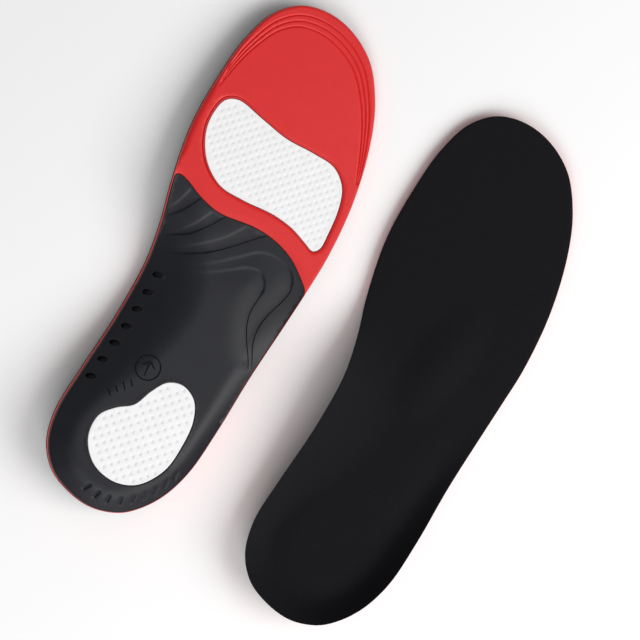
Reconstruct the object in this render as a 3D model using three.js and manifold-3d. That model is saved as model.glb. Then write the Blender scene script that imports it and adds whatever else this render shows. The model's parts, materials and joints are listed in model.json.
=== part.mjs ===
// A pair of full-length cushioned insoles: the right one lies as it is worn, the left one is turned over.
// Each insole is a fabric cover on a foam bed, with a stiff arch and heel shell and two gel pads under it.
// Millimetres. +Z is up, +Y runs from heel to toe, +X from the turned-over left insole to the right one.
import * as THREE from "three";
import { mergeVertices } from "three/addons/utils/BufferGeometryUtils.js";
import Module from "manifold-3d";

const wasm = await Module();
wasm.setup();

// Overall plan sizes of one insole, and how the two lie beside each other.
const LENGTH = 270;
const WIDTH = 90;
const PAIR_SPACING = 110; // between the two middles, across
const PAIR_STAGGER = 8.5; // the right insole lies this much nearer the heel end

// Thicknesses, square to the underside.
const SHELL_THICKNESS = 1.8;
const FOREFOOT_FOAM = 4.5;
const HEEL_FOAM = 5.2; // above the shell, under the middle of the heel
const COVER_THICKNESS = 1;
const CLEARANCE = 0.3; // between neighbouring pieces
const FLEX_GAP = 0.4; // between the rear and the fore part of the bed, at the line where it bends

// Gel pads: how far they sit below the underside's face, and how thick they are.
const GEL_RECESS = 0.4;
const HEEL_GEL_THICKNESS = 3.8;
const FOREFOOT_GEL_THICKNESS = 2.2;

// The shell stays this far inside the edge of the foam.
const SHELL_INSET = 1.2;

// A raised dome under the foam's top, behind the ball of the foot.
const DOME_HEIGHT = 3;

// Blind pockets along the shell's arch wall.
const POCKET_COUNT = 7;
const POCKET_LENGTH = 5.2;
const POCKET_WIDTH = 3;
const POCKET_DEPTH = 1.2;

// The plan is drawn once, at the base size, and graded to LENGTH and WIDTH.
// Its x counts from the inner (medial) side of the foot, its y from the back of the heel.
const BASE_LENGTH = 270;
const BASE_WIDTH = 90;
const HEEL_TIP = [36, 0];
const TOE_TIP = [37.5, 270];
// Each station: y, x of the medial edge, x of the lateral edge.
const STATIONS = [
  [3, 22, 49.5],
  [9, 11.2, 58],
  [20, 3.3, 66.7],
  [36, 0.4, 73.2],
  [60, 3.3, 77.1],
  [90, 7.9, 80.1],
  [120, 10, 84.3],
  [140, 7.8, 87.1],
  [160, 3.7, 89.5],
  [190, 0.5, 89.6],
  [220, 2.7, 85.1],
  [240, 6.3, 78.4],
  [257, 13.2, 67.5],
  [267, 24, 52.5],
];

// Height of the underside's rim over the flat, and how far in from the edge the rise begins, along each side.
// Each pair: y, value. Between two pairs the value eases from one to the next.
const RIM_HEIGHT = {
  medial: [[35, 9], [108, 17], [166, 0]],
  lateral: [[35, 9], [140, 0]],
};
const RIM_REACH = {
  medial: [[35, 14], [108, 34], [166, 16]],
  lateral: [[0, 13], [40, 11]],
};
const HEEL_FOAM_SHARE = [[70, 1], [150, 0]]; // how far the thick heel foam runs forward
const HEEL_FOAM_REACH = 22; // it thins to the forefoot's foam over this much of the edge

// Where the bed bends: a straight line across, from the medial edge.
const FLEX_Y = 169;
const FLEX_SLANT = -0.155;

// The shell's front edge, from beyond the medial edge to beyond the lateral one.
const SHELL_FRONT = [
  [-12, 163.5], [6, 166], [20, 159.9], [31, 156.8], [50, 157.9],
  [62, 156.2], [73, 151.6], [85, 141.4], [102, 124],
];
const HEEL_GEL = [
  [50.8, 73.1], [58.7, 69], [62.9, 59.6], [63.1, 45.6], [60.3, 31.6], [51.2, 19.9], [39.8, 16.6],
  [27.4, 20.5], [19.5, 31.2], [19.6, 42.8], [25.8, 49.8], [33.2, 54.8], [38, 64.1], [43.3, 71.1],
];
const FOREFOOT_GEL = [
  [16.3, 211.2], [30.8, 207.9], [45.8, 204.3], [60.8, 203.6], [73, 201.8], [80.6, 195], [83.7, 185.4],
  [84.4, 170.4], [83.7, 162.2], [80.8, 159.6], [75.8, 161.6], [66.8, 165.4], [55.8, 167.5], [38.8, 167.5],
  [25.8, 169.1], [14.8, 177.4], [8.4, 189.9], [7.8, 200.4], [10.4, 208.3],
];
const DOME = { x: 51, y: 145, length: 78, width: 34, turn: -0.2 };
const POCKETS = { y: 58.4, pitch: 9.8, inset: 5.6, drift: 0.33, turn: 0.2 };

const ROWS_PER_STATION = 2;
const COLUMNS = [0, 0.07, 0.16, 0.3, 0.5, 0.7, 0.84, 0.93, 1];
const CURVE_STEPS = 3; // straight steps between two drawn points of a pad or shell outline
const POCKET_STEPS = 10; // straight steps round a pocket
const DEEP = 60; // taller than any piece, for cutting prisms

const lerp = THREE.MathUtils.lerp;
const smooth = (share) => THREE.MathUtils.smoothstep(share, 0, 1);

// The value at y of a list of [y, value] pairs.
function along(pairs, y) {
  if (y <= pairs[0][0]) return pairs[0][1];
  for (let i = 1; i < pairs.length; i++) {
    const [y0, value0] = pairs[i - 1];
    const [y1, value1] = pairs[i];
    if (y <= y1) return lerp(value0, value1, smooth((y - y0) / (y1 - y0)));
  }
  return pairs.at(-1)[1];
}

function spline(points, closed) {
  const corners = points.map(([x, y]) => new THREE.Vector3(x, y, 0));
  return new THREE.CatmullRomCurve3(corners, closed, "centripetal");
}

// The outline runs from the heel's tip along the medial side to the toe's tip and back along the lateral
// side, so a station's share of the way is the same on both sides.
const outline = spline(
  [
    HEEL_TIP,
    ...STATIONS.map(([y, medial]) => [medial, y]),
    TOE_TIP,
    ...STATIONS.map(([y, , lateral]) => [lateral, y]).reverse(),
  ],
  true,
);
const ROWS = (STATIONS.length + 1) * ROWS_PER_STATION;
const edgePoint = {
  medial: (row) => outline.getPoint((0.5 * row) / ROWS),
  lateral: (row) => outline.getPoint((1 - (0.5 * row) / ROWS) % 1),
};
const sideLines = {};
for (const side of ["medial", "lateral"]) {
  const points = Array.from({ length: 2 * ROWS + 1 }, (_, i) => edgePoint[side](i / 2));
  sideLines[side] = points.slice(1).map((point, i) => new THREE.Line3(points[i], point));
}

// The distance from a point of the plan to one side's edge, and the y of the nearest point there.
function nearest(side, x, y) {
  const place = new THREE.Vector3(x, y, 0);
  const foot = new THREE.Vector3();
  let best = { distance: Infinity, y: 0 };
  for (const line of sideLines[side]) {
    const distance = line.closestPointToPoint(place, true, foot).distanceTo(place);
    if (distance < best.distance) best = { distance, y: foot.y };
  }
  return best;
}

// The underside: flat, with a rim that rises round the heel and up the arch. A layer on a slope stands
// taller than it is thick, by steep.
function underside(x, y) {
  const sides = ["medial", "lateral"].map((side) => {
    const near = nearest(side, x, y);
    const height = along(RIM_HEIGHT[side], near.y);
    const reach = along(RIM_REACH[side], near.y);
    const share = Math.max(0, 1 - near.distance / reach);
    return { rise: height * share ** 2, steep: Math.hypot(1, (2 * height * share) / reach) };
  });
  return sides[0].rise > sides[1].rise ? sides[0] : sides[1];
}

function dome(x, y) {
  const [sin, cos] = [Math.sin(DOME.turn), Math.cos(DOME.turn)];
  const across = ((x - DOME.x) * cos + (y - DOME.y) * sin) / (DOME.width / 2);
  const lengthways = ((y - DOME.y) * cos - (x - DOME.x) * sin) / (DOME.length / 2);
  return DOME_HEIGHT * Math.max(0, 1 - across ** 2 - lengthways ** 2) ** 2;
}

// Depth of the foam's top over the underside.
function foamTop(x, y) {
  const edge = Math.min(nearest("medial", x, y).distance, nearest("lateral", x, y).distance);
  const share = along(HEEL_FOAM_SHARE, y) * smooth(edge / HEEL_FOAM_REACH);
  return lerp(FOREFOOT_FOAM, SHELL_THICKNESS + CLEARANCE + HEEL_FOAM, share) + dome(x, y);
}
const coverBottom = (x, y) => foamTop(x, y) + CLEARANCE;
const coverTop = (x, y) => coverBottom(x, y) + COVER_THICKNESS;

// The plan's points and triangles, shared by every layer, so that neighbouring layers follow each other.
function planGrid() {
  const points = [];
  const rows = [];
  for (let row = 0; row <= ROWS; row++) {
    const atTip = row === 0 || row === ROWS;
    const [medial, lateral] = [edgePoint.medial(row), edgePoint.lateral(row)];
    rows.push(
      (atTip ? [0] : COLUMNS).map((share) => points.push(medial.clone().lerp(lateral, share)) - 1),
    );
  }
  const triangles = [];
  const at = (row, column) => row[Math.min(column, row.length - 1)];
  for (let row = 0; row < ROWS; row++) {
    for (let column = 0; column < COLUMNS.length - 1; column++) {
      const [a, b] = [at(rows[row], column), at(rows[row], column + 1)];
      const [c, d] = [at(rows[row + 1], column + 1), at(rows[row + 1], column)];
      if (a !== b) triangles.push([a, b, c]);
      if (c !== d) triangles.push([a, c, d]);
    }
  }
  const inner = rows.slice(1, -1);
  const lateral = inner.map((row) => row.at(-1));
  const medial = inner.map((row) => row[0]).reverse();
  const rim = [rows[0][0], ...lateral, rows.at(-1)[0], ...medial];
  return { points, triangles, rim };
}
const plan = planGrid();
const surface = plan.points.map(({ x, y }) => ({
  x: (x * WIDTH) / BASE_WIDTH,
  y: (y * LENGTH) / BASE_LENGTH,
  ...underside(x, y),
  foamTop: foamTop(x, y),
  coverBottom: coverBottom(x, y),
  coverTop: coverTop(x, y),
}));

function solid(vertices, triangles) {
  const vertProperties = new Float32Array(vertices.flat());
  const triVerts = new Uint32Array(triangles.flat());
  return new wasm.Manifold(new wasm.Mesh({ numProp: 3, vertProperties, triVerts }));
}

// A layer of the whole insole between two depths over the underside. A depth is a number or a surface key.
function layer(lower, upper) {
  const height = (point, depth) => point.rise + point.steep * (point[depth] ?? depth);
  const top = surface.map((point) => [point.x, point.y, height(point, upper)]);
  const bottom = surface.map((point) => [point.x, point.y, height(point, lower)]);
  const count = surface.length;
  const walls = plan.rim.flatMap((a, i) => {
    const b = plan.rim[(i + 1) % plan.rim.length];
    return [[a + count, b + count, b], [a + count, b, a]];
  });
  const under = plan.triangles.map(([a, b, c]) => [a + count, c + count, b + count]);
  return solid([...top, ...bottom], [...plan.triangles, ...under, ...walls]);
}

// Plan outlines, graded to size. A closed one runs counterclockwise.
function graded(curve, divisions) {
  return curve.getPoints(divisions).map(({ x, y }) =>
    new THREE.Vector2((x * WIDTH) / BASE_WIDTH, (y * LENGTH) / BASE_LENGTH));
}

function closedOutline(points) {
  const corners = graded(spline(points, true), points.length * CURVE_STEPS).slice(0, -1);
  return THREE.ShapeUtils.isClockWise(corners) ? corners.reverse() : corners;
}

// The outline moved outwards, square to itself, by a distance.
function grown(corners, distance) {
  return corners.map((corner, i) => {
    const before = corners.at(i - 1);
    const after = corners[(i + 1) % corners.length];
    const tangent = after.clone().sub(before).normalize();
    return corner.clone().add(new THREE.Vector2(tangent.y, -tangent.x).multiplyScalar(distance));
  });
}

function prism(corners) {
  const straight = { depth: 2 * DEEP, bevelEnabled: false };
  const geometry = new THREE.ExtrudeGeometry(new THREE.Shape(corners), straight);
  geometry.translate(0, 0, -DEEP);
  geometry.deleteAttribute("normal").deleteAttribute("uv");
  const merged = mergeVertices(geometry, 1e-4);
  const vertProperties = merged.attributes.position.array;
  const triVerts = new Uint32Array(merged.index.array);
  return new wasm.Manifold(new wasm.Mesh({ numProp: 3, vertProperties, triVerts }));
}

// Everything in front of the flex line, moved forwards by a distance.
function inFrontOfFlex(distance) {
  const far = 2 * LENGTH;
  const y = (x) => ((FLEX_Y + (FLEX_SLANT * x * BASE_WIDTH) / WIDTH) * LENGTH) / BASE_LENGTH + distance;
  return prism([
    new THREE.Vector2(-far, y(-far)),
    new THREE.Vector2(far, y(far)),
    new THREE.Vector2(far, 2 * far),
    new THREE.Vector2(-far, 2 * far),
  ]);
}

// The plan of the shell: inside the insole's edge and behind its own front edge, moved outwards by a distance.
function shellPlan(distance) {
  const rim = plan.rim.map((i) => new THREE.Vector2(surface[i].x, surface[i].y));
  const front = graded(spline(SHELL_FRONT, false), SHELL_FRONT.length * CURVE_STEPS);
  const heelCorners = [new THREE.Vector2(2 * WIDTH, -WIDTH), new THREE.Vector2(-WIDTH, -WIDTH)];
  const behind = [...front, ...heelCorners].reverse();
  return prism(grown(rim, distance - SHELL_INSET)).intersect(prism(grown(behind, distance)));
}

// One oval pocket after another along the arch, each a little further from the medial edge.
function pockets() {
  return Array.from({ length: POCKET_COUNT }, (_, i) => {
    const y = POCKETS.y + i * POCKETS.pitch;
    const edge = sideLines.medial.find((line) => line.end.y >= y).end;
    const x = edge.x + POCKETS.inset + i * POCKETS.drift;
    const centre = [(x * WIDTH) / BASE_WIDTH, (y * LENGTH) / BASE_LENGTH];
    const radii = [POCKET_LENGTH / 2, POCKET_WIDTH / 2];
    const oval = new THREE.EllipseCurve(...centre, ...radii, 0, 2 * Math.PI, false, POCKETS.turn);
    return prism(oval.getPoints(POCKET_STEPS).slice(0, -1));
  });
}

// The solids of one insole, underside down.
function insoleSolids() {
  const heelGel = closedOutline(HEEL_GEL);
  const forefootGel = closedOutline(FOREFOOT_GEL);
  const heelGelTop = GEL_RECESS + HEEL_GEL_THICKNESS;
  const forefootGelTop = GEL_RECESS + FOREFOOT_GEL_THICKNESS;
  const shellSeat = layer(-DEEP, SHELL_THICKNESS + CLEARANCE).intersect(shellPlan(CLEARANCE));
  const heelSeat = layer(-DEEP, heelGelTop + CLEARANCE).intersect(prism(grown(heelGel, CLEARANCE)));
  const forefootSeatPlan = prism(grown(forefootGel, CLEARANCE));
  const forefootSeat = layer(-DEEP, forefootGelTop + CLEARANCE).intersect(forefootSeatPlan);
  const foam = layer(0, "foamTop").subtract(shellSeat).subtract(heelSeat).subtract(forefootSeat);
  const cover = layer("coverBottom", "coverTop");
  const window = prism(grown(heelGel, CLEARANCE));
  const pocketCut = layer(-DEEP, POCKET_DEPTH).intersect(wasm.Manifold.union(pockets()));
  const fore = inFrontOfFlex(FLEX_GAP / 2);
  const notRear = inFrontOfFlex(-FLEX_GAP / 2);
  return {
    top_cover_rear: cover.subtract(notRear),
    top_cover_fore: cover.intersect(fore),
    foam_rear: foam.subtract(notRear),
    foam_fore: foam.intersect(fore),
    support_shell: layer(0, SHELL_THICKNESS).intersect(shellPlan(0)).subtract(window).subtract(pocketCut),
    heel_gel: layer(GEL_RECESS, heelGelTop).intersect(prism(heelGel)),
    forefoot_gel: layer(GEL_RECESS, forefootGelTop).intersect(prism(forefootGel)),
  };
}

const fabric = new THREE.MeshStandardMaterial({ color: "#18191e", roughness: 0.95, metalness: 0 });
const redFoam = new THREE.MeshStandardMaterial({ color: "#d83636", roughness: 0.8, metalness: 0 });
const blackPlastic = new THREE.MeshStandardMaterial({ color: "#2d2e32", roughness: 0.6, metalness: 0 });
const whiteGel = new THREE.MeshStandardMaterial({ color: "#eeeeee", roughness: 0.35, metalness: 0 });
const materials = {
  top_cover_rear: fabric,
  top_cover_fore: fabric,
  foam_rear: redFoam,
  foam_fore: redFoam,
  support_shell: blackPlastic,
  heel_gel: whiteGel,
  forefoot_gel: whiteGel,
};

function geometryOf(body) {
  const { numProp, numVert, vertProperties, triVerts } = body.getMesh();
  const positions = new Float32Array(numVert * 3);
  for (let i = 0; i < numVert; i++) {
    positions.set(vertProperties.subarray(i * numProp, i * numProp + 3), i * 3);
  }
  const geometry = new THREE.BufferGeometry();
  geometry.setAttribute("position", new THREE.BufferAttribute(positions, 3));
  geometry.setIndex(new THREE.BufferAttribute(triVerts, 1));
  geometry.computeVertexNormals();
  return geometry;
}

const geometries = Object.entries(insoleSolids()).map(([piece, body]) => [piece, geometryOf(body)]);

// One insole, its plan's middle at the group's origin.
function insole(side) {
  const group = new THREE.Group();
  for (const [piece, geometry] of geometries) {
    const mesh = new THREE.Mesh(geometry, materials[piece]);
    mesh.name = `${side}_${piece}`;
    mesh.position.set(-WIDTH / 2, -LENGTH / 2, 0);
    group.add(mesh);
  }
  return group;
}

// A turned-over insole stands on three points of its rim. This gives the normal of the plane through them:
// the rest of the rim is over that plane, and the insole's middle is over the triangle of the three points.
function standingNormal(rim, middle) {
  const count = rim.length;
  for (let i = 0; i < count; i++) {
    for (let j = i + 1; j < count; j++) {
      for (let k = j + 1; k < count; k++) {
        const plane = new THREE.Plane().setFromCoplanarPoints(rim[i], rim[j], rim[k]);
        if (plane.normal.z < 0) plane.negate();
        const stands = new THREE.Triangle(rim[i], rim[j], rim[k]).containsPoint(middle);
        if (stands && rim.every((point) => plane.distanceToPoint(point) > -1e-6)) return plane.normal;
      }
    }
  }
  throw new Error("the rim has no standing triangle");
}

const right = insole("right");
right.position.set(PAIR_SPACING / 2, -PAIR_STAGGER / 2, 0);

const left = insole("left");
const turnedRim = plan.rim.map((i) => {
  const { x, y, rise, steep, coverTop: depth } = surface[i];
  return new THREE.Vector3(x - WIDTH / 2, y - LENGTH / 2, -(rise + steep * depth));
});
left.scale.z = -1;
const standing = standingNormal(turnedRim, new THREE.Vector3());
left.quaternion.setFromUnitVectors(standing, new THREE.Vector3(0, 0, 1));
left.position.set(-PAIR_SPACING / 2, PAIR_STAGGER / 2, 0);
left.updateMatrixWorld(true);
left.position.z -= new THREE.Box3().setFromObject(left, true).min.z;

// The line on which each insole bends: at the highest point of the cover for the right one, whose toe lifts
// towards the cover, and on the flat underside for the left one, whose toe lifts towards the underside.
function flexLine(height) {
  const x = BASE_WIDTH / 2;
  const y = ((FLEX_Y + FLEX_SLANT * x) * LENGTH) / BASE_LENGTH - LENGTH / 2;
  const axis = new THREE.Vector3(WIDTH / BASE_WIDTH, (FLEX_SLANT * LENGTH) / BASE_LENGTH, 0);
  return { point: new THREE.Vector3(0, y, height), axis: axis.normalize() };
}
const flexTops = Array.from({ length: BASE_WIDTH }, (_, x) => coverTop(x, FLEX_Y + FLEX_SLANT * x));
right.userData.flex = flexLine(Math.max(...flexTops));
left.userData.flex = flexLine(0);

// The pair, standing on Z = 0 with the middle of its plan at the origin.
const pair = new THREE.Group();
const insoles = new THREE.Group();
insoles.add(right, left);
pair.add(insoles);
pair.updateMatrixWorld(true);
const box = new THREE.Box3().setFromObject(insoles, true);
insoles.position.set(-(box.min.x + box.max.x) / 2, -(box.min.y + box.max.y) / 2, -box.min.z);

export default pair;
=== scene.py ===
import json
import bpy
import numpy as np
from mathutils import Matrix, Vector
from mathutils.geometry import delaunay_2d_cdt


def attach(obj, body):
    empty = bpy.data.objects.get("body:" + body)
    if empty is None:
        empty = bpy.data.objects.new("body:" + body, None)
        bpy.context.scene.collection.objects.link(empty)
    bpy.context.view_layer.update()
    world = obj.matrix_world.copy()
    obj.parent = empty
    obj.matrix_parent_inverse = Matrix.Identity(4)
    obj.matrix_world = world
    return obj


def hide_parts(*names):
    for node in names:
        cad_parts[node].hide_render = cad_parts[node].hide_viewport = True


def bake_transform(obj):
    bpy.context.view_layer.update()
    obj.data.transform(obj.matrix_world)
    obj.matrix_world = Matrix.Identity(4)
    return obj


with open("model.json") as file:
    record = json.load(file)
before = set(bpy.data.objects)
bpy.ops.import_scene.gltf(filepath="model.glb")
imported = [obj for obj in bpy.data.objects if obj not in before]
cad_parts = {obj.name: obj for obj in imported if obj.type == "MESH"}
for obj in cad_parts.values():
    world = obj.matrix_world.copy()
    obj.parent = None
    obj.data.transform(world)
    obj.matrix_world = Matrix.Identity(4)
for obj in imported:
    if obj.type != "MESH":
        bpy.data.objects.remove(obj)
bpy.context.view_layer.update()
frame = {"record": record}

RECORD = frame["record"]
MM = 0.001

# Layers.
SHELL_THICKNESS = 1.8
HEEL_FOAM, FOREFOOT_FOAM = 5.2, 4.5
COVER_THICKNESS = 1.0
HEEL_GEL_THICKNESS, FOREFOOT_GEL_THICKNESS = 3.8, 2.2
GEL_RECESS = 0.4
CLEARANCE = 0.3
DOME_HEIGHT = 3.0

# The plan.
HEEL_TIP = [36, 0]
TOE_TIP = [37.5, 270]
STATIONS = [  # y, medial edge, lateral edge
    [3, 22, 49.5], [9, 11.2, 58], [20, 3.3, 66.7], [36, 0.4, 73.2], [60, 3.3, 77.1], [90, 7.9, 80.1],
    [120, 10, 84.3], [140, 7.8, 87.1], [160, 3.7, 89.5], [190, 0.5, 89.6], [220, 2.7, 85.1],
    [240, 6.3, 78.4], [257, 13.2, 67.5], [267, 24, 52.5],
]
SHELL_FRONT = [
    [-12, 163.5], [6, 166], [20, 159.9], [31, 156.8], [50, 157.9],
    [62, 156.2], [73, 151.6], [85, 141.4], [102, 124],
]
HEEL_GEL = [
    [50.8, 73.1], [58.7, 69], [62.9, 59.6], [63.1, 45.6], [60.3, 31.6], [51.2, 19.9], [39.8, 16.6],
    [27.4, 20.5], [19.5, 31.2], [19.6, 42.8], [25.8, 49.8], [33.2, 54.8], [38, 64.1], [43.3, 71.1],
]
FOREFOOT_GEL = [
    [16.3, 211.2], [30.8, 207.9], [45.8, 204.3], [60.8, 203.6], [73, 201.8], [80.6, 195], [83.7, 185.4],
    [84.4, 170.4], [83.7, 162.2], [80.8, 159.6], [75.8, 161.6], [66.8, 165.4], [55.8, 167.5], [38.8, 167.5],
    [25.8, 169.1], [14.8, 177.4], [8.4, 189.9], [7.8, 200.4], [10.4, 208.3],
]
DOME = {"x": 51, "y": 145, "length": 78, "width": 34, "turn": -0.2}
POCKETS = {"count": 7, "y": 58.4, "pitch": 9.8, "inset": 5.6, "drift": 0.33, "turn": 0.2}
POCKET_LENGTH, POCKET_WIDTH = 5.2, 3

# The raised rim, and where the foam is thicker.
RIM_HEIGHT = {"medial": [[35, 9], [108, 17], [166, 0]], "lateral": [[35, 9], [140, 0]]}
RIM_REACH = {"medial": [[35, 14], [108, 34], [166, 16]], "lateral": [[0, 13], [40, 11]]}
HEEL_FOAM_SHARE = [[70, 1], [150, 0]]
HEEL_FOAM_REACH = 22

# The flex line, where it bends, and the plan point of the forefoot mount.
FLEX_Y, FLEX_SLANT = 169, -0.155
MIDDLE_X = 45
MOUNT_POINT = (MIDDLE_X, 230)

# Edges. Here the shell reaches nearer to the outline than in the CAD model, and its pockets are deeper.
SHELL_INSET, SEAT_GAP = 0.75, 0.15
SHELL_ROUND, POCKET_ROUND, GEL_ROUND, RECESS_ROUND, COVER_ROUND = 0.4, 0.25, 0.55, 0.6, 0.6
POCKET_DEPTH = 1.5
COVER_TUCK = 0.35
COVER_EDGE = [[0.1, 0.08], [0, 0.3], [0, 0.5]]  # inset and height, from the bottom up
FOAM_INSET, BEVEL_HEIGHT = 0.3, 2.3
BEVEL_WIDTH = {
    "medial": [[168, 0.15], [180, 3.3], [206, 3.1], [224, 1.7]],
    "lateral": [[142, 0.15], [156, 0.9], [205, 1.0], [235, 1.5], [265, 1.8]],
}

# Moulded steps of the shell: along each route the surface drops to its left-hand side. The height and the
# width of the step's wall, and the length over which it fades, are each given for the route's two ends.
STEPS = [
    {"route": [[14, 128.3], [24.3, 131.7], [34.1, 136.9], [44.5, 145.1], [52.9, 153.1], [60, 159.5]],
     "heights": (0.65, 0.65), "widths": (0.6, 0.3), "fades": (14, 0)},
    {"route": [[50, 162], [46.3, 157.1], [40.1, 148.8], [32.5, 141.8], [24, 135.8], [16, 131.5]],
     "heights": (0.24, 0.2), "widths": (0.9, 1.3), "fades": (0, 20)},
    {"route": [[11, 135.6], [15.4, 137.8], [21.9, 141.2], [29.2, 148.7], [35, 156.7], [38, 161]],
     "heights": (0.65, 0.65), "widths": (0.6, 0.3), "fades": (8, 0)},
    {"route": [[32, 163], [28.2, 156.7], [23.3, 148.3], [17.2, 141.1], [11.5, 136.5]],
     "heights": (0.24, 0.2), "widths": (0.9, 1.3), "fades": (0, 16)},
    {"route": [[8, 145], [12.5, 148.3], [17.9, 155.6], [22, 163]],
     "heights": (0.6, 0.6), "widths": (0.6, 0.35), "fades": (7, 0)},
    {"route": [[15, 167], [12.3, 157.4], [9.3, 150.8], [7, 147]],
     "heights": (0.24, 0.24), "widths": (0.9, 1.2), "fades": (0, 9)},
    {"route": [[77.6, 91], [75.4, 96.8], [69.5, 107], [66.7, 113.8], [65.7, 120.1], [66.6, 127.2],
               [66.8, 133.5], [62.3, 139.3], [55.6, 138.8], [47.2, 133.6], [38.7, 128.5], [28, 124.5],
               [18, 121.5]],
     "heights": (0.7, 0.25), "widths": (0.3, 1.5), "fades": (8, 40)},
    {"route": [[78.6, 92.5], [76.9, 97.8], [73.6, 105.5], [72.6, 113.1], [73.6, 119.7], [78.2, 132.2],
               [79.2, 138], [75.7, 145.6], [66.3, 149.2], [57.9, 148.2], [49.9, 142.2], [39, 133.7],
               [28, 127.5], [18, 124]],
     "heights": (0.7, 0.25), "widths": (0.3, 1.5), "fades": (8, 40)},
]
STEP_REACH, STEP_CHANGE, STEP_MARGIN = 6, (0.35, 0.65), 1.4
SHELL_EASING, JOIN_GAP = 8, 0.5

# Marks of the shell: a ring with an arrow in it, a row of bars, and notches round the heel.
MARK_CENTRE, MARK_RADIUS = np.array([31.6, 73.8]), 6.2
ARROW_LENGTH, ARROW_HEAD, SHAFT_GAP, BARB_GAP = 7.2, 2.6, 1.1, 0.5
BAR_START, BAR_STEP, BAR = np.array([20.3, 54.3]), np.array([2.7, 2.8]), np.array([-1.9, 2.2])
BAR_COUNT = 4
MARK_DEPTH, MARK_WIDTH = 0.45, 0.36
TICK_COUNT, TICK_PITCH, TICK_START = 9, 6.1, [29.4, 8.4]
TICK_INSETS, TICK_INSET_RUN = (8.0, 4.4), 1.25 * TICK_COUNT * TICK_PITCH
TICK_HALF_LENGTH, TICK_WIDTH, TICK_DEPTH, TICK_LEAN = 1.4, 0.75, 0.85, 0.6
LIP_HEIGHT, LIP_REACH = 1.1, 7
LIP_SHARE = {"medial": [[120, 1], [156, 0]], "lateral": [[50, 1], [105, 0]]}

# Relief of the foam: size lines round the toe, a sunk border round the gel pad, a hollow before the shell.
TRIM_INSETS, TRIM_FROM, TRIM_RUN_IN = (5.5, 8.5, 11.5), 187, 12
TRIM_POWERS = {"medial": 1.3, "lateral": 0.8}
TRIM_DEPTH, TRIM_WIDTH = 0.5, 0.5
BORDER_DEPTH = [[12, 0.85], [28, 0.25]]  # by x
BORDER_SHARE = [[0.9, 1], [1.6, 0]]  # by distance from the pad
HOLLOW_DEPTH, HOLLOW_REACH = [[140, 0], [150, 0.35]], 1.6

# Dents of the gel pads, with painted shade in them: a grey tint, weaker in the forefoot pad.
DIMPLE_DEPTH, DIMPLE_TURN, DIMPLE_EDGE = 0.17, 0.76, 1.6
DIMPLE_RADII, DIMPLE_WALL = (1.15, 1.35), 0.75
DIMPLE_RINGS = (0.3, 0.5, 0.7, 1)
HEEL_PITCH, FOREFOOT_PITCH = 3.74, 3.35
HEEL_DENT_SHADE, FOREFOOT_DENT_SHADE = 1, 0.5
FOREFOOT_GEL_SINK = 0.25

# How finely curves and surfaces are drawn.
EDGE_STEPS, CURVE_STEPS, POCKET_STEPS, DIMPLE_STEPS = 16, 12, 28, 10
OUTLINE_SPACING, LOOP_SPACING, LINE_SPACING = 1.2, 0.8, 0.7
HIDDEN_MESH, RIM_MESH, COVER_MESH, FACE_MESH = 6.0, 3.0, 2.2, 2.0
GEL_MESH, POCKET_MESH, FINE_MESH = 1.6, 1.0, 0.5
RIM_MESH_REACH, FOAM_MESH_REACH, SHELL_MESH_REACH = 16, 2, 2.2
SEAM_MARGIN, SEAM_MARGIN_LIMIT, POINT_MARGIN = 0.7, 0.5, 0.45  # in triangles, mm, triangles
SAME_PLACE = 1e-5
ROUND_ANGLES = np.radians(np.arange(15, 91, 15))
SHARP_ANGLE = np.radians(50)
CHUNK = 4000

# Low waves of the surfaces: their size and height.
SHELL_RIPPLES, FOAM_RIPPLES, COVER_RIPPLES, GEL_RIPPLES = (14, 0.04), (22, 0.06), (9, 0.05), (12, 0.03)

# View and light, in metres.
VIEW_TURN = np.radians(25.15)
VIEW_WIDTH = 0.3142
VIEW_CENTRE = Vector((-0.0014, -0.0002, 0.012))
LENS, SENSOR = 135.0, 36.0
FLOOR_HALF = 3.0
SOFTBOXES = {"key": ((1.3, 0.05, 1.2), 25.5), "front": ((0.5, -1.3, 1.25), 17.5)}
SOFTBOX_SIZE = 1.3
WORLD_LIGHT = 0.26


# ---- curves in the plan ----

def spline(points, is_loop, steps):
    """A centripetal Catmull-Rom curve through the points, with so many steps between two of them."""
    points = np.array(points, float)
    if is_loop:
        before, start, end, after = (np.roll(points, shift, axis=0) for shift in (1, 0, -1, -2))
    else:
        more = np.vstack([2 * points[0] - points[1], points, 2 * points[-1] - points[-2]])
        before, start, end, after = more[:-3], more[1:-2], more[2:-1], more[3:]
    pairs = ((before, start), (start, end), (end, after))
    gap0, gap1, gap2 = (np.sqrt(np.linalg.norm(b - a, axis=1, keepdims=True)) for a, b in pairs)
    leave = gap1 * ((start - before) / gap0 - (end - before) / (gap0 + gap1) + (end - start) / gap1)
    arrive = gap1 * ((end - start) / gap1 - (after - start) / (gap1 + gap2) + (after - end) / gap2)
    t = (np.arange(steps) / steps)[None, :, None]
    square = -3 * start + 3 * end - 2 * leave - arrive
    cube = 2 * start - 2 * end + leave + arrive
    curve = start[:, None] + leave[:, None] * t + square[:, None] * t**2 + cube[:, None] * t**3
    curve = curve.reshape(-1, 2)
    return curve if is_loop else np.vstack([curve, points[-1]])


def closed(loop):
    """A loop as a line that ends where it begins."""
    return np.vstack([loop, loop[:1]])


def lengths(line):
    """How far along an open line each of its points is."""
    return np.concatenate([[0], np.cumsum(np.linalg.norm(np.diff(line, axis=0), axis=1))])


def walked(line, places):
    """The points at some distances along an open line."""
    run = lengths(line)
    return np.column_stack([np.interp(places, run, line[:, axis]) for axis in (0, 1)])


def resampled(loop, spacing):
    """A closed loop with evenly spaced points."""
    line = closed(loop)
    whole = lengths(line)[-1]
    count = max(12, int(round(whole / spacing)))
    return walked(line, np.arange(count) * whole / count)


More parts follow.
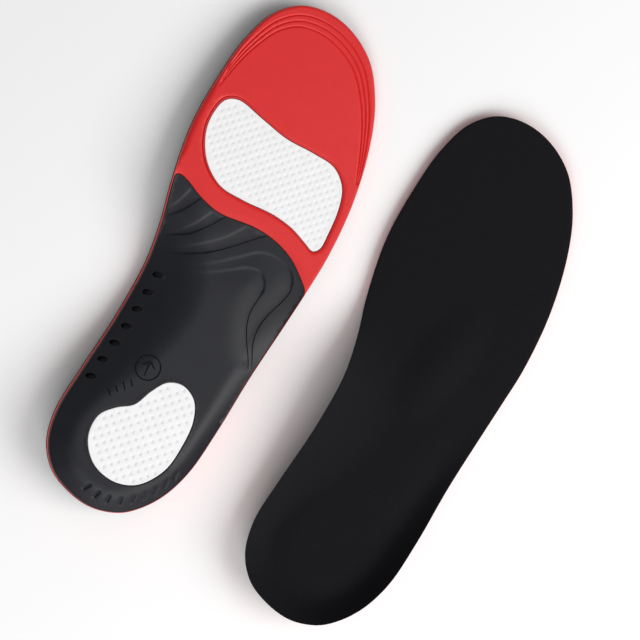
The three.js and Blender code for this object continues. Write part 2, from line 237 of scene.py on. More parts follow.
def respaced(line, spacing):
    """An open line with evenly spaced points."""
    whole = lengths(line)[-1]
    return walked(line, np.linspace(0, whole, max(3, int(round(whole / spacing)) + 1)))


def rounded(loop, passes):
    """A closed loop with its corners eased."""
    for _ in range(passes):
        loop = (np.roll(loop, 1, axis=0) + 2 * loop + np.roll(loop, -1, axis=0)) / 4
    return loop


def area(loop):
    """The area in a loop, negative where the loop runs clockwise."""
    x, y = loop.T
    return np.sum(x * np.roll(y, -1) - np.roll(x, -1) * y) / 2


def counterclockwise(loop):
    return loop if area(loop) > 0 else loop[::-1]


def grown(loop, distance):
    """The loop moved away from what lies on its left, by a distance or one distance for each point."""
    tangent = np.roll(loop, -1, axis=0) - np.roll(loop, 1, axis=0)
    tangent /= np.linalg.norm(tangent, axis=1, keepdims=True)
    outward = np.column_stack([tangent[:, 1], -tangent[:, 0]])
    return loop + outward * np.broadcast_to(distance, len(loop))[:, None]


def beside(line, offset):
    """An open line moved to its left by an offset, or one offset for each point."""
    tangent = np.gradient(line, axis=0)
    tangent /= np.linalg.norm(tangent, axis=1, keepdims=True)
    left = np.column_stack([-tangent[:, 1], tangent[:, 0]])
    return line + left * np.broadcast_to(offset, len(line))[:, None]


def chunks(points):
    """The points' numbers in lots small enough to compare with a whole line at once."""
    return np.array_split(np.arange(len(points)), max(1, len(points) // CHUNK))


def nearest(line, points):
    """For each point, its distance to a line, the nearest point there, which side of the line it is on
    (1 for the left-hand side) and how far along the line the nearest point is."""
    start, run = line[:-1], np.diff(line, axis=0)
    square = np.maximum((run**2).sum(1), 1e-12)
    before = np.concatenate([[0], np.cumsum(np.sqrt(square))])
    distances, feet, sides, places = [], [], [], []
    for part in chunks(points):
        offset = points[part, None] - start
        share = np.clip((offset * run).sum(2) / square, 0, 1)
        away = offset - share[..., None] * run
        length = (away**2).sum(2)
        best = length.argmin(1)
        rows = np.arange(len(part))
        distances.append(np.sqrt(length[rows, best]))
        feet.append(points[part] - away[rows, best])
        cross = run[best, 0] * away[rows, best, 1] - run[best, 1] * away[rows, best, 0]
        sides.append(np.where(cross > 0, 1, -1))
        places.append(before[best] + share[rows, best] * np.sqrt(square[best]))
    return np.concatenate(distances), np.vstack(feet), np.concatenate(sides), np.concatenate(places)


def distance_to(loop, points):
    return nearest(closed(loop), points)[0]


def inside(points, loops):
    """Which points are inside the first loop and outside the others."""
    crossings = np.zeros(len(points), int)
    for loop in loops:
        after = np.roll(loop, -1, axis=0)
        for part in chunks(points):
            x, y = points[part, 0, None], points[part, 1, None]
            spans = (loop[:, 1] > y) != (after[:, 1] > y)
            rise = np.where(after[:, 1] == loop[:, 1], 1, after[:, 1] - loop[:, 1])
            cut = loop[:, 0] + (y - loop[:, 1]) * (after[:, 0] - loop[:, 0]) / rise
            crossings[part] += (spans & (x < cut)).sum(1)
    return crossings % 2 == 1


# ---- the insole's form ----

outline = spline(
    [HEEL_TIP, *([m, y] for y, m, _ in STATIONS), TOE_TIP, *([l, y] for y, _, l in reversed(STATIONS))],
    True, EDGE_STEPS,
)
toe = (len(STATIONS) + 1) * EDGE_STEPS
SIDES = {"medial": outline[: toe + 1], "lateral": np.vstack([outline[toe:], outline[:1]])[::-1]}
OUTLINE = resampled(counterclockwise(outline), OUTLINE_SPACING)
RIM_DETAIL = (RIM_MESH, [closed(OUTLINE)], RIM_MESH_REACH)


def smooth(share):
    share = np.clip(share, 0, 1)
    return share**2 * (3 - 2 * share)


def along(pairs, place):
    """The value at a place of a list of [place, value] pairs, easing from one to the next."""
    value = np.full(np.shape(place), float(pairs[0][1]))
    for (place0, value0), (place1, value1) in zip(pairs, pairs[1:]):
        eased = value0 + (value1 - value0) * smooth((place - place0) / (place1 - place0))
        value = np.where(place > place0, eased, value)
    return value


def underside(points):
    """Height of the underside over the flat, and how much taller a layer stands there than it is thick."""
    rise, steep = np.zeros(len(points)), np.ones(len(points))
    for side, line in SIDES.items():
        distance, foot, _, _ = nearest(line, points)
        height, reach = along(RIM_HEIGHT[side], foot[:, 1]), along(RIM_REACH[side], foot[:, 1])
        share = np.maximum(0, 1 - distance / reach)
        higher = height * share**2 > rise
        rise = np.where(higher, height * share**2, rise)
        steep = np.where(higher, np.hypot(1, 2 * height * share / reach), steep)
    return rise, steep


def foam_top(points):
    """Depth of the foam's top over the underside."""
    x, y = points.T
    edge = np.minimum(*(nearest(line, points)[0] for line in SIDES.values()))
    share = along(HEEL_FOAM_SHARE, y) * smooth(edge / HEEL_FOAM_REACH)
    depth = FOREFOOT_FOAM + (SHELL_THICKNESS + CLEARANCE + HEEL_FOAM - FOREFOOT_FOAM) * share
    sin, cos = np.sin(DOME["turn"]), np.cos(DOME["turn"])
    across = ((x - DOME["x"]) * cos + (y - DOME["y"]) * sin) / (DOME["width"] / 2)
    lengthways = ((y - DOME["y"]) * cos - (x - DOME["x"]) * sin) / (DOME["length"] / 2)
    return depth + DOME_HEIGHT * np.maximum(0, 1 - across**2 - lengthways**2) ** 2


def ripples(points, size, height):
    """Very low, soft waves, so that a moulded or laid surface isn't mathematically flat."""
    x, y = points.T / size
    wave = np.sin(1.3 * x + 0.7 * y) + np.sin(0.4 * x - 1.1 * y + 2) + np.sin(2.3 * x + 1.9 * y + 1) / 2
    return height * (1 + wave / 2.5)


# ---- outlines of the pieces ----

def shell_outline():
    """The rim of the insole, closed by the shell's front edge."""
    rim = grown(OUTLINE, -SHELL_INSET)
    front = spline(SHELL_FRONT, False, EDGE_STEPS)
    behind = rim[:, 1] < np.interp(rim[:, 0], front[:, 0], front[:, 1])
    first = np.flatnonzero(behind & ~np.roll(behind, 1))[0]
    run = np.roll(rim, -first, axis=0)[: behind.sum()]
    edge = front[(front[:, 0] > run[0, 0] + JOIN_GAP) & (front[:, 0] < run[-1, 0] - JOIN_GAP)]
    return rounded(resampled(np.vstack([run, edge[::-1]]), LOOP_SPACING), SHELL_EASING)


def pad_outline(points):
    return resampled(counterclockwise(spline(points, True, CURVE_STEPS)), LOOP_SPACING)


def pocket_outlines():
    """The oval pockets of the arch wall, each a little further from the medial edge."""
    turn = np.linspace(0, 2 * np.pi, POCKET_STEPS, endpoint=False)
    oval = np.column_stack([POCKET_LENGTH / 2 * np.cos(turn), POCKET_WIDTH / 2 * np.sin(turn)])
    cos, sin = np.cos(POCKETS["turn"]), np.sin(POCKETS["turn"])
    loops = []
    for i in range(POCKETS["count"]):
        y = POCKETS["y"] + i * POCKETS["pitch"]
        edge = np.interp(y, SIDES["medial"][:, 1], SIDES["medial"][:, 0])
        centre = [edge + POCKETS["inset"] + i * POCKETS["drift"], y]
        loops.append(oval @ np.array([[cos, sin], [-sin, cos]]) + centre)
    return loops


SHELL_LOOP = shell_outline()
HEEL_LOOP, FOREFOOT_LOOP = pad_outline(HEEL_GEL), pad_outline(FOREFOOT_GEL)


# ---- closed pieces from plan meshes ----

def lattice(loops, spacing, detail):
    """Points of a triangular lattice inside the loops, denser near the detail's lines."""
    low, high = loops[0].min(0), loops[0].max(0)
    fine_spacing, lines, reach = detail
    factor = max(1, int(round(spacing / fine_spacing)))
    fine = spacing / factor
    row = fine * np.sqrt(0.75)
    rows = np.arange(int((high[1] - low[1]) / row) + 2)
    columns = np.arange(-len(rows) // 2, int((high[0] - low[0]) / fine) + 2)
    i, j = (grid.ravel() for grid in np.meshgrid(columns, rows))
    points = np.column_stack([low[0] + (i + j / 2) * fine, low[1] + j * row])
    keep = (i % factor == 0) & (j % factor == 0)
    for line in lines:
        box = (points > line.min(0) - reach).all(1) & (points < line.max(0) + reach).all(1)
        keep[box] |= nearest(line, points[box])[0] < reach if box.any() else False
    points = points[keep]
    return points[inside(points, loops)], fine


def clipped(line, loops, margin):
    """The runs of an open line that lie inside the loops, clear of them by a margin."""
    clear = inside(line, loops)
    for loop in loops:
        clear &= distance_to(loop, line) > margin
    runs, run = [], []
    for point, good in zip([*line, None], [*clear, False]):
        if good:
            run.append(point)
            continue
        if len(run) > 2:
            runs.append(np.array(run))
        run = []
    return runs


def plan_mesh(loops, spacing, detail=None, seams=(), spots=None):
    """Triangles inside the first loop and outside the others. detail is (spacing, lines, reach): smaller
    triangles near some lines. Edges follow the seams, which are open lines, and there is a corner at each
    spot. Gives the points, the triangles and each loop's point numbers."""
    points, fine = lattice(loops, spacing, detail or (spacing, (), 0))
    margin = min(SEAM_MARGIN * fine, SEAM_MARGIN_LIMIT)
    runs = [run for seam in seams for run in clipped(seam, loops, margin)]
    for line in [*map(closed, loops), *runs]:
        points = points[nearest(line, points)[0] > POINT_MARGIN * fine]
    if spots is not None:
        clear = np.linalg.norm(points[:, None] - spots, axis=2).min(1) > fine
        points = np.vstack([points[clear], spots])
    chains = [*loops, *runs]
    starts = np.cumsum([0, *map(len, chains)])
    given = np.vstack([*chains, points])
    edges = chain_edges(loops, runs, starts)
    result = delaunay_2d_cdt([Vector(p) for p in given], edges, [], 0, SAME_PLACE)
    corners = np.array([tuple(v) for v in result[0]])
    triangles = np.array(result[2])
    triangles = triangles[inside(corners[triangles].mean(1), loops)]
    a, b, c = (corners[triangles[:, k]] for k in range(3))
    turned = (b[:, 0] - a[:, 0]) * (c[:, 1] - a[:, 1]) - (b[:, 1] - a[:, 1]) * (c[:, 0] - a[:, 0]) < 0
    triangles[turned] = triangles[turned][:, ::-1]
    number = np.zeros(len(given), int)
    for index, origins in enumerate(result[3]):
        number[origins] = index
    return corners, triangles, [number[a:b] for a, b in zip(starts, starts[1 : len(loops) + 1])]


def chain_edges(loops, runs, starts):
    """The edges of some loops and then some open runs. Their points are numbered chain after chain."""
    edges = []
    for loop, start in zip(loops, starts):
        edges += [(int(start + k), int(start + (k + 1) % len(loop))) for k in range(len(loop))]
    for run, start in zip(runs, starts[len(loops) :]):
        edges += [(int(start + k), int(start + k + 1)) for k in range(len(run) - 1)]
    return edges


def rounded_rings(loop, width, height, depth, edge=0):
    """Rings of a quarter-round edge, from a face at a depth out to the wall, which is inset by edge."""
    rings = []
    for angle in ROUND_ANGLES:
        inset = edge + width * (1 - np.sin(angle))
        rings.append((grown(loop, -inset), depth + height * (1 - np.cos(angle))))
    return rings


class Skin:
    """The vertices and faces of one closed piece, as plan points and depths."""

    def __init__(self):
        self.points, self.depths, self.faces, self.count = [], [], [], 0
        self.painted_dent_shade = None

    def add(self, points, depth):
        self.points.append(points)
        self.depths.append(np.broadcast_to(np.asarray(depth, float), len(points)))
        self.count += len(points)
        return np.arange(self.count - len(points), self.count)

    def face(self, mesh, depth, up):
        """A surface over a plan mesh, at a depth given by a number or a function. Gives its loops."""
        points, triangles, loops = mesh
        numbers = self.add(points, depth(points) if callable(depth) else depth)
        self.faces += numbers[triangles if up else triangles[:, ::-1]].tolist()
        return [numbers[loop] for loop in loops]

    def wall(self, bottom, rings, top):
        """A wall from a loop of vertices up through rings of (points, depth) to another loop."""
        levels = [bottom, *(self.add(points, depth) for points, depth in rings), top]
        for low, high in zip(levels, levels[1:]):
            quads = np.column_stack([low, np.roll(low, -1), np.roll(high, -1), high])
            self.faces += quads.tolist()

    def piece(self, name, side, material):
        """The finished Blender object, in its place on one side's insole."""
        points, depths = np.vstack(self.points), np.concatenate(self.depths)
        rise, steep = underside(points)
        piece = placed(name, side, np.column_stack([points, rise + steep * depths]), self.faces, material)
        # A gel pad carries its painted shade, the grey of its dents, as a point attribute.
        if self.painted_dent_shade:
            dent_shade = piece.data.attributes.new("dent_shade", "FLOAT", "POINT")
            dent_shade.data.foreach_set("value", self.painted_dent_shade(points))
        return piece


def insole_matrix(side):
    """From an insole's own millimetres to the frame: read from its flex joint and its forefoot mount."""
    joint = next(j for j in RECORD["behaviour"]["joints"] if j["name"] == f"{side}_flex")
    mount = next(m for m in RECORD["mounts"] if m["name"] == f"{side}_forefoot_base")
    down, axis = Vector(mount["axis"]).normalized(), Vector(joint["axis"]).normalized()
    upright = down if side == "left" else -down
    ahead = upright.cross(axis)
    line = Vector((1, FLEX_SLANT)).normalized()
    columns = (axis * line.x - ahead * line.y, axis * line.y + ahead * line.x, -down)
    turn = Matrix(columns).transposed()
    origin = Vector(mount["pos_m"]) - MM * (turn @ Vector((*MOUNT_POINT, 0)))
    return Matrix.Translation(origin) @ (turn * MM).to_4x4()


MATRIX = {side: insole_matrix(side) for side in ("right", "left")}


def linked(name, data):
    """A new object in the scene."""
    obj = bpy.data.objects.new(name, data)
    bpy.context.scene.collection.objects.link(obj)
    return obj


def placed(name, side, vertices, faces, material):
    """A smooth-shaded object from a piece's vertices in its insole's own millimetres."""
    matrix = np.array(MATRIX[side])
    vertices = vertices @ matrix[:3, :3].T + matrix[:3, 3]
    if side == "left":
        faces = [face[::-1] for face in faces]
    mesh = bpy.data.meshes.new(name)
    mesh.from_pydata(vertices.tolist(), [], faces)
    mesh.polygons.foreach_set("use_smooth", [True] * len(mesh.polygons))
    mesh.set_sharp_from_angle(angle=SHARP_ANGLE)
    mesh.materials.append(material)
    return linked(name, mesh)


# ---- relief ----

def gouge(points, lines, depth, width):
    """Depth of narrow grooves with straight walls."""
    total = np.zeros(len(points))
    for line in lines:
        total = np.maximum(total, depth * np.clip(1 - nearest(line, points)[0] / width, 0, 1))
    return total


def gouge_seams(lines, width):
    return [edge for line in lines for edge in (beside(line, -width), line, beside(line, width))]


def arc(centre, radius, start, end):
    turn = np.linspace(start, end, max(8, int(abs(end - start) * radius / LINE_SPACING)))
    return centre + radius * np.column_stack([np.cos(turn), np.sin(turn)])


def stroke(start, end):
    return respaced(np.array([start, end], float), LINE_SPACING)


def mark_lines():
    """A plain ring with an arrow towards the toe in it, and a row of bars beside it."""
    tip = MARK_CENTRE + [0, ARROW_LENGTH / 2]
    ring = arc(MARK_CENTRE, MARK_RADIUS, 0, 2 * np.pi)
    shaft = stroke(MARK_CENTRE - [0, ARROW_LENGTH / 2], tip - [0, SHAFT_GAP])
    slants = ([-1, -1], [1, -1])
    barbs = [stroke(tip + ARROW_HEAD * np.array(s), tip + BARB_GAP * np.array(s)) for s in slants]
    starts = [BAR_START + k * BAR_STEP for k in range(BAR_COUNT)]
    return [ring, shaft, *barbs, *(stroke(start, start + BAR) for start in starts)]


def tick_lines():
    """Short notches, lengthways, from the middle of the heel round its lateral side. The first two lean."""
    first = np.linalg.norm(OUTLINE - TICK_START, axis=1).argmin()
    rim = np.roll(OUTLINE, -first, axis=0)[: len(OUTLINE) // 3]
    line = beside(rim, np.interp(lengths(rim), [0, TICK_INSET_RUN], TICK_INSETS))
    lines = []
    for k, centre in enumerate(walked(line, np.arange(TICK_COUNT) * TICK_PITCH)):
        lean = TICK_LEAN * max(0, 1 - k / 2)
        half = TICK_HALF_LENGTH * np.array([np.sin(lean), np.cos(lean)])
        lines.append(stroke(centre - half, centre + half))
    return lines


def trim_line(inset):
    """A size line round the toe, which runs into the edge at the ball of the foot."""
    front = OUTLINE[:, 1] > TRIM_FROM + TRIM_RUN_IN
    first = np.flatnonzero(front & ~np.roll(front, 1))[0]
    part = np.roll(OUTLINE, -first, axis=0)[: front.sum()]
    share = np.clip((part[:, 1] - TRIM_FROM) / (TOE_TIP[1] - TRIM_FROM), 0, 1)
    power = np.where(part[:, 0] < TOE_TIP[0], TRIM_POWERS["medial"], TRIM_POWERS["lateral"])
    return beside(part, inset * share**power)


class Step:
    """One moulded step of the shell."""

    def __init__(self, route, heights, widths, fades):
        self.line = respaced(spline(route, False, CURVE_STEPS), LOOP_SPACING)
        self.heights, self.widths, self.fades = heights, widths, fades
        self.length = lengths(self.line)[-1]

    def between(self, values, place):
        """One value near the route's beginning and another near its end."""
        return np.interp(place / self.length, STEP_CHANGE, values)

    def seams(self):
        half = self.between(self.widths, np.linspace(0, self.length, len(self.line))) / 2
        return [beside(self.line, -half), beside(self.line, half)]

    def depth(self, points):
        distance, _, side, place = nearest(self.line, points)
        begin, end = self.fades
        strength = smooth(place / begin) if begin else 1
        strength = strength * (smooth((self.length - place) / end) if end else 1)
        half = self.between(self.widths, place) / 2
        wall = (1 + np.clip(distance / half, 0, 1) * side) / 2
        away = np.maximum(0, distance - half) / STEP_REACH
        return self.between(self.heights, place) * wall * strength * np.exp(-(away**2))


STEP_LIST = [Step(**step) for step in STEPS]
MARKS, TICKS = mark_lines(), tick_lines()
TRIMS = [trim_line(inset) for inset in TRIM_INSETS]


def rim_lip(points):
    """How far the shell's rim turns outwards."""
    lip = np.zeros(len(points))
    for side, line in SIDES.items():
        share = np.clip(1 - nearest(line, points)[0] / LIP_REACH, 0, 1)
        lip = np.maximum(lip, LIP_HEIGHT * share**2 * along(LIP_SHARE[side], points[:, 1]))
    return lip


def shell_relief(points):
    depth = ripples(points, *SHELL_RIPPLES) - rim_lip(points)
    depth = depth + gouge(points, MARKS, MARK_DEPTH, MARK_WIDTH)
    inner = smooth((distance_to(SHELL_LOOP, points) - SHELL_ROUND) / STEP_MARGIN)
    for step in STEP_LIST:
        depth = depth + inner * step.depth(points)
    for line in TICKS:
        depth = depth + TICK_DEPTH * np.exp(-((nearest(line, points)[0] / TICK_WIDTH) ** 2))
    return depth


def foam_relief(points):
    x, y = points.T
    depth = ripples(points, *FOAM_RIPPLES) + gouge(points, TRIMS, TRIM_DEPTH, TRIM_WIDTH)
    border = along(BORDER_DEPTH, x) * along(BORDER_SHARE, distance_to(FOREFOOT_LOOP, points))
    hollow = along(HOLLOW_DEPTH, y) * np.exp(-((distance_to(SHELL_LOOP, points) / HOLLOW_REACH) ** 2))
    return depth + border + hollow


def dimple_centres(loop, pitch):
    """The places of the dents in a gel pad: a square lattice turned to the insole's length."""
    middle = (loop.min(0) + loop.max(0)) / 2
    count = int(np.ptp(loop, axis=0).max() / pitch) + 2
    u, v = (grid.ravel() * pitch for grid in np.meshgrid(*[np.arange(-count, count + 1)] * 2))
    cos, sin = np.cos(DIMPLE_TURN), np.sin(DIMPLE_TURN)
    centres = middle + np.column_stack([u * cos - v * sin, u * sin + v * cos])
    centres = centres[inside(centres, [loop])]
    return centres[distance_to(loop, centres) > DIMPLE_EDGE]


def dimple_rings(centres):
    """Rings in and round each dent, which the mesh follows."""
    turn = np.linspace(0, 2 * np.pi, DIMPLE_STEPS + 1)
    rings = []
    for size in DIMPLE_RINGS:
        ring = np.column_stack([np.cos(turn), np.sin(turn)]) * DIMPLE_RADII * size
        ring[-1] = ring[0]
        rings += [centre + ring for centre in centres]
    return rings


def dimple_depth(points, centres):
    """A smooth dent at each centre."""
    depth = np.zeros(len(points))
    for part in chunks(points):
        offset = (points[part, None] - centres) / DIMPLE_RADII
        away = np.sqrt((offset**2).sum(2).min(1))
        depth[part] = DIMPLE_DEPTH * smooth((1 - away) / DIMPLE_WALL)
    return depth


# ---- materials ----

def set_values(made, values):
    """Set a node's properties and inputs, whose names have _ for a space."""
    for key, value in values.items():
        if hasattr(made, key):
            setattr(made, key, value)
        else:
            made.inputs[key.replace("_", " ")].default_value = value


def new_material(name, **values):
    material = bpy.data.materials.new(name)
    material.use_nodes = True
    shader = material.node_tree.nodes["Principled BSDF"]
    set_values(shader, values)
    return material, shader


def node(material, kind, links=(), **values):
    made = material.node_tree.nodes.new(kind)
    set_values(made, values)
    for socket, source in links:
        material.node_tree.links.new(source, made.inputs[socket])
    return made


def coordinates(material):
    """A texture's link to the object's own coordinates."""
    return ("Vector", node(material, "ShaderNodeTexCoord").outputs["Object"])


def mottled(material, low, high, scale):
    """A colour that drifts between two close colours."""
    links = [coordinates(material)]
    noise = node(material, "ShaderNodeTexNoise", links, Scale=scale, Detail=6.0, Roughness=0.62)
    ramp = node(material, "ShaderNodeValToRGB", [("Fac", noise.outputs["Fac"])])
    for element, place, color in zip(ramp.color_ramp.elements, (0.3, 0.7), (low, high)):
        element.position = place
        element.color = (*color, 1)
    return ramp.outputs["Color"]


def colored(material, shader, color):
    material.node_tree.links.new(color, shader.inputs["Base Color"])


def bumped(material, shader, *layers):
    """Bump from several height textures, each (output, strength, distance in metres)."""
    normal = None
    for height, strength, distance in layers:
        links = [("Height", height)] + ([("Normal", normal)] if normal else [])
        bump = node(material, "ShaderNodeBump", links, Strength=strength, Distance=distance)
        normal = bump.outputs["Normal"]
    material.node_tree.links.new(normal, shader.inputs["Normal"])


def noise_height(material, scale):
    noise = node(material, "ShaderNodeTexNoise", [coordinates(material)], Scale=scale, Detail=4.0)
    return noise.outputs["Fac"]


def cell_height(material, scale):
    cells = node(material, "ShaderNodeTexVoronoi", [coordinates(material)], Scale=scale)
    return cells.outputs["Distance"]


def fabric_material():
    material, shader = new_material(
        "cover_fabric", Roughness=0.9, Specular_IOR_Level=0.25,
        Sheen_Weight=0.06, Sheen_Roughness=0.55, Sheen_Tint=(0.55, 0.57, 0.65, 1),
    )
    colored(material, shader, mottled(material, (0.0008, 0.0008, 0.002), (0.0018, 0.0018, 0.0034), 420))
    bumped(material, shader, (cell_height(material, 1500), 0.55, 0.0002),
           (noise_height(material, 260), 0.25, 0.0003))
    return material


def foam_material():
    material, shader = new_material("red_foam", Roughness=0.5, Specular_IOR_Level=0.5)
    colored(material, shader, mottled(material, (0.64, 0.008, 0.008), (0.67, 0.010, 0.010), 160))
    bumped(material, shader, (cell_height(material, 1900), 0.25, 0.00012),
           (noise_height(material, 300), 0.12, 0.0002))
    return material


def shell_material():
    material, shader = new_material("black_shell", Roughness=0.48, Specular_IOR_Level=0.38)
    colored(material, shader, mottled(material, (0.0042, 0.0047, 0.0085), (0.0062, 0.0068, 0.0112), 90))
    bumped(material, shader, (noise_height(material, 2400), 0.2, 0.00008),
           (noise_height(material, 160), 0.08, 0.0002))
    return material


def gel_material():
    """White gel, with painted shade that makes it a little greyer in its dents."""
    material, shader = new_material(
        "white_gel", Roughness=0.5, Specular_IOR_Level=0.35,
        Subsurface_Weight=0.1, Subsurface_Radius=(1.0, 1.0, 1.0), Subsurface_Scale=0.0012,
    )
    white = mottled(material, (0.82, 0.82, 0.825), (0.86, 0.86, 0.865), 120)
    # Painted shade: grey mixed into the white where the dents are.
    dent_shade = node(material, "ShaderNodeAttribute", attribute_name="dent_shade")
    links = [("Fac", dent_shade.outputs["Fac"]), ("Color1", white)]
    mix = node(material, "ShaderNodeMixRGB", links, Color2=(0.72, 0.72, 0.735, 1))
    colored(material, shader, mix.outputs["Color"])
    bumped(material, shader, (noise_height(material, 700), 0.08, 0.0001))
    return material


def floor_material():
    pale = (0.95, 0.95, 0.95, 1)
    material, _ = new_material("pale_floor", Base_Color=pale, Roughness=0.9, Specular_IOR_Level=0.1)
    return material


# ---- the pieces ----

def cover_skin():
    def bottom_depth(points):
        return foam_top(points) + CLEARANCE

    def top_depth(points):
        return bottom_depth(points) + COVER_THICKNESS + ripples(points, *COVER_RIPPLES)

    skin = Skin()
    bottom_mesh = plan_mesh([grown(OUTLINE, -COVER_TUCK)], HIDDEN_MESH, RIM_DETAIL)
    bottom, = skin.face(bottom_mesh, bottom_depth, up=False)
    top, = skin.face(plan_mesh([grown(OUTLINE, -COVER_ROUND)], COVER_MESH), top_depth, up=True)
    low = bottom_depth(OUTLINE)
    rings = [(grown(OUTLINE, -inset), low + height) for inset, height in COVER_EDGE]
    rings += rounded_rings(OUTLINE, COVER_ROUND, -COVER_ROUND, low + COVER_THICKNESS)[:-1][::-1]
    skin.wall(bottom, rings, top)
    return skin


def foam_skin():
    skin = Skin()
    x, y = OUTLINE.T
    bevel = np.where(x < TOE_TIP[0], along(BEVEL_WIDTH["medial"], y), along(BEVEL_WIDTH["lateral"], y))
    shell_seat = grown(SHELL_LOOP, SEAT_GAP)[::-1]
    gel_seat = grown(FOREFOOT_LOOP, CLEARANCE)[::-1]
    face_loops = [grown(OUTLINE, -(FOAM_INSET + bevel)), shell_seat, grown(gel_seat, -RECESS_ROUND)]
    detail = (FINE_MESH, [closed(FOREFOOT_LOOP), *TRIMS], FOAM_MESH_REACH)
    face_mesh = plan_mesh(face_loops, FACE_MESH, detail, gouge_seams(TRIMS, TRIM_WIDTH))
    outer, shell_edge, gel_edge = skin.face(face_mesh, foam_relief, up=False)
    top, = skin.face(plan_mesh([grown(OUTLINE, -FOAM_INSET)], HIDDEN_MESH, RIM_DETAIL), foam_top, up=True)
    skin.wall(outer, rounded_rings(OUTLINE, bevel, BEVEL_HEIGHT, 0, FOAM_INSET), top)
    add_shell_recess(skin, shell_seat, shell_edge)
    gel_depth = GEL_RECESS + FOREFOOT_GEL_THICKNESS + CLEARANCE
    gel_floor, = skin.face(plan_mesh([gel_seat[::-1]], HIDDEN_MESH), gel_depth, up=False)
    skin.wall(gel_edge, rounded_rings(gel_seat, RECESS_ROUND, RECESS_ROUND, 0), gel_floor[::-1])
    return skin


def add_shell_recess(skin, shell_seat, edge):
    """The recess in the foam that the shell lies in, with the heel gel's deeper recess in its floor."""
    heel_seat = grown(HEEL_LOOP, CLEARANCE)[::-1]
    seat_mesh = plan_mesh([shell_seat[::-1], heel_seat], HIDDEN_MESH)
    floor, inner = skin.face(seat_mesh, SHELL_THICKNESS + CLEARANCE, up=False)
    skin.wall(edge, [], floor[::-1])
    heel_depth = GEL_RECESS + HEEL_GEL_THICKNESS + CLEARANCE
    heel_floor, = skin.face(plan_mesh([heel_seat[::-1]], HIDDEN_MESH), heel_depth, up=False)
    skin.wall(inner, [], heel_floor[::-1])


def shell_skin():
    skin = Skin()
    window = grown(HEEL_LOOP, CLEARANCE)[::-1]
    pockets = [loop[::-1] for loop in pocket_outlines()]
    face_loops = [grown(SHELL_LOOP, -SHELL_ROUND), grown(window, -SHELL_ROUND)]
    face_loops += [grown(pocket, -POCKET_ROUND) for pocket in pockets]
    detail = (FINE_MESH, [*TICKS, *(step.line for step in STEP_LIST)], SHELL_MESH_REACH)
    seams = [seam for step in STEP_LIST for seam in step.seams()] + gouge_seams(MARKS, MARK_WIDTH)
    face_mesh = plan_mesh(face_loops, FACE_MESH, detail, seams)
    outer, inner, *pocket_edges = skin.face(face_mesh, shell_relief, up=False)
    back_mesh = plan_mesh([SHELL_LOOP, window], HIDDEN_MESH)
    back_outer, back_inner = skin.face(back_mesh, SHELL_THICKNESS, up=True)
    rim = rounded_rings(SHELL_LOOP, SHELL_ROUND, SHELL_ROUND, -rim_lip(SHELL_LOOP))
    skin.wall(outer, rim, back_outer)
    skin.wall(inner, rounded_rings(window, SHELL_ROUND, SHELL_ROUND, 0), back_inner)
    for edge, pocket in zip(pocket_edges, pockets):
        floor, = skin.face(plan_mesh([pocket[::-1]], POCKET_MESH), POCKET_DEPTH, up=False)
        rings = rounded_rings(pocket, POCKET_ROUND, POCKET_ROUND, -rim_lip(pocket))
        skin.wall(edge, rings, floor[::-1])
    return skin


def gel_skin(loop, recess, thickness, pitch, shade_strength):
    centres = dimple_centres(loop, pitch)

    def face_depth(points):
        return recess + dimple_depth(points, centres) + ripples(points, *GEL_RIPPLES)

    # Painted shade: how much grey is painted at each point, most at a dent's middle.
    def painted_dent_shade(points):
        return shade_strength * dimple_depth(points, centres) / DIMPLE_DEPTH

    skin = Skin()
    skin.painted_dent_shade = painted_dent_shade
    face_mesh = plan_mesh([grown(loop, -GEL_ROUND)], GEL_MESH, None, dimple_rings(centres), centres)
    front, = skin.face(face_mesh, face_depth, up=False)
    back, = skin.face(plan_mesh([loop], HIDDEN_MESH), recess + thickness, up=True)
    skin.wall(front, rounded_rings(loop, GEL_ROUND, GEL_ROUND, recess), back)
    return skin


def heel_gel_skin():
    return gel_skin(HEEL_LOOP, GEL_RECESS, HEEL_GEL_THICKNESS, HEEL_PITCH, HEEL_DENT_SHADE)


def forefoot_gel_skin():
    recess, thickness = GEL_RECESS + FOREFOOT_GEL_SINK, FOREFOOT_GEL_THICKNESS - FOREFOOT_GEL_SINK
    return gel_skin(FOREFOOT_LOOP, recess, thickness, FOREFOOT_PITCH, FOREFOOT_DENT_SHADE)


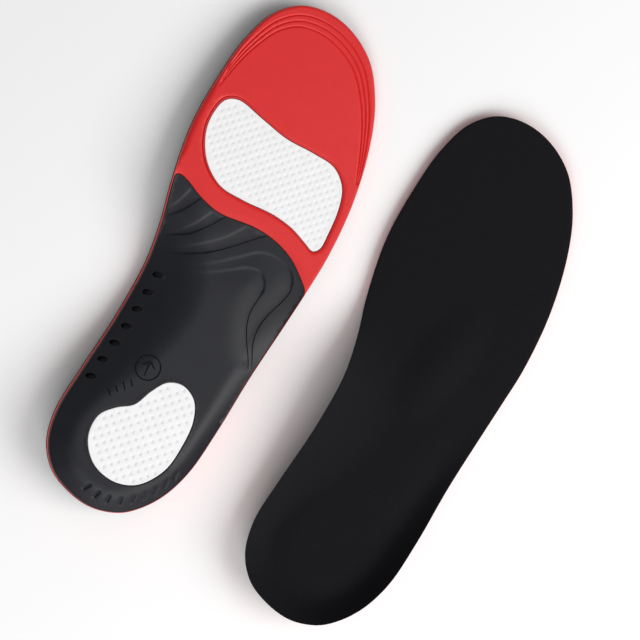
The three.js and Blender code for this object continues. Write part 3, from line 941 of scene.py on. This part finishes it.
FABRIC, FOAM, SHELL, GEL = fabric_material(), foam_material(), shell_material(), gel_material()
PARTS = {  # each part's skin, material and slot in the record
    "top_cover": (cover_skin(), FABRIC, "cover_fabric"),
    "foam": (foam_skin(), FOAM, "red_foam"),
    "support_shell": (shell_skin(), SHELL, "black_shell"),
    "heel_gel": (heel_gel_skin(), GEL, "white_gel"),
    "forefoot_gel": (forefoot_gel_skin(), GEL, "white_gel"),
}


def make_insole(side):
    pieces = {}
    for part, (skin, material, slot) in PARTS.items():
        pieces[part] = skin.piece(f"{side}_{part}_look", side, material)
    for part in ("top_cover", "foam"):
        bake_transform(pieces[part])
        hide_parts(f"{side}_{part}_rear", f"{side}_{part}_fore")
    for part in ("support_shell", "forefoot_gel"):
        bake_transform(pieces[part])
        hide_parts(f"{side}_{part}")
    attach(pieces["heel_gel"], f"{side}_rear")
    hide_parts(f"{side}_heel_gel")


# ---- stage ----

def make_camera():
    data = bpy.data.cameras.new("camera")
    data.lens = LENS
    data.sensor_width = SENSOR
    data.clip_end = 20
    camera = linked("camera", data)
    camera.location = VIEW_CENTRE + Vector((0, 0, VIEW_WIDTH * LENS / SENSOR))
    camera.rotation_euler = (0, 0, VIEW_TURN)
    bpy.context.scene.camera = camera


def make_softbox(name, centre, power):
    """A square soft light that faces the origin."""
    data = bpy.data.lights.new(name, "AREA")
    data.shape = "SQUARE"
    data.size = SOFTBOX_SIZE
    data.energy = power
    light = linked(name, data)
    light.location = centre
    light.rotation_euler = (-Vector(centre)).to_track_quat("-Z", "Y").to_euler()


def make_floor():
    mesh = bpy.data.meshes.new("floor")
    corners = [(x * FLOOR_HALF, y * FLOOR_HALF, 0) for x, y in ((-1, -1), (1, -1), (1, 1), (-1, 1))]
    mesh.from_pydata(corners, [], [(0, 1, 2, 3)])
    mesh.materials.append(floor_material())
    linked("floor", mesh)


def make_world():
    world = bpy.data.worlds.new("studio")
    world.use_nodes = True
    background = world.node_tree.nodes["Background"]
    background.inputs["Color"].default_value = (1, 1, 1, 1)
    background.inputs["Strength"].default_value = WORLD_LIGHT
    bpy.context.scene.world = world
    bpy.context.scene.view_settings.view_transform = "Standard"


make_camera()
make_insole("right")
make_insole("left")
make_floor()
for name, (centre, power) in SOFTBOXES.items():
    make_softbox(name, centre, power)
make_world()
